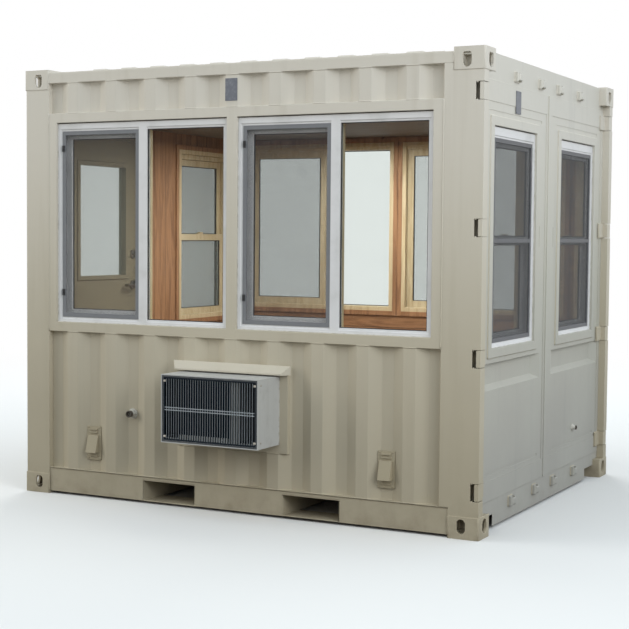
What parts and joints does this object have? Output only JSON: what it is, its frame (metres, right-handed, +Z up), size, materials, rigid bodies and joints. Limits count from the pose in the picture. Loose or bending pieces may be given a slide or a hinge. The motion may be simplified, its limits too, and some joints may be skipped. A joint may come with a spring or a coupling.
{
  "type": "security guard booth made from a ten foot shipping container",
  "caption": "Steel container guard booth with a window band on each long side, a hinged half-glazed door, welded cargo doors and a wall air conditioner.",
  "frame": {"origin": "middle of the rectangle of the four bottom corner locks, on the plane of the castings' feet", "axes": "+X along the booth towards the cargo doors, -Y towards the front wall that holds the air conditioner, +Z up"},
  "size_m": [3.0215, 2.674, 2.591],
  "materials": {
    "container_paint": "satin",
    "white_vinyl": "satin",
    "screen_frame": "satin",
    "glass": "polished",
    "stained_wood": "satin",
    "pine": "satin",
    "ceiling_board": "matte",
    "floor_plywood": "satin",
    "door_paint": "satin",
    "lock_metal": "satin",
    "ac_paint": "satin",
    "ac_fins": "satin",
    "ac_coil": "matte",
    "cover_plastic": "matte"
  },
  "bodies": {
    "root": {"bottom_corner_castings": "container_paint", "top_corner_castings": "container_paint", "closed_end_posts": "container_paint", "door_end_posts": "container_paint", "bottom_side_rails": "container_paint", "top_side_rails": "container_paint", "closed_end_sill": "container_paint", "closed_end_header": "container_paint", "door_sill": "container_paint", "door_header": "container_paint", "fork_pockets": "container_paint", "cross_members": "container_paint", "floor": "floor_plywood", "roof_panel": "container_paint", "front_wall": "container_paint", "rear_wall": "container_paint", "closed_end_wall_rear": "container_paint", "closed_end_wall_over_door": "container_paint", "front_window_surround": "container_paint", "rear_window_surround": "container_paint", "hung_window_surrounds": "container_paint", "slider_frames": "white_vinyl", "slider_sashes": "white_vinyl", "hung_window_frames": "white_vinyl", "hung_window_sashes": "white_vinyl", "window_glass": "glass", "insect_screens": "screen_frame", "front_lining": "stained_wood", "rear_lining": "stained_wood", "closed_end_lining": "stained_wood", "door_end_lining": "stained_wood", "ceiling_lining": "ceiling_board", "window_trims": "pine", "man_door_surround": "container_paint", "man_door_frame": "container_paint", "cargo_door_front": "container_paint", "cargo_door_rear": "container_paint", "cargo_door_hinges": "container_paint", "cam_keepers": "container_paint", "ac_surround": "container_paint", "ac_case": "ac_paint", "ac_coil": "ac_coil", "ac_grille": "ac_fins", "ac_hood": "container_paint", "cable_covers": "cover_plastic", "pipe_stub": "lock_metal"},
    "man_door": {"man_door": "door_paint", "man_door_glass": "glass", "man_door_locks": "lock_metal", "man_door_hinges": "lock_metal"},
    "door_lever": {"door_lever": "lock_metal"}
  },
  "joints": [
    {"name": "man_door_hinge", "type": "hinge", "parent": "root", "child": "man_door", "pos_m": [-1.482, -0.9105, 1.211], "axis": [0, 0, 1], "range_deg": [0, 110]},
    {"name": "door_lever_turn", "type": "hinge", "parent": "man_door", "child": "door_lever", "pos_m": [-1.452, -0.161, 1.255], "axis": [1, 0, 0], "range_deg": [0, 45], "stiffness_Nm_per_rad": 1.2, "springref_deg": -34.38}
  ]
}
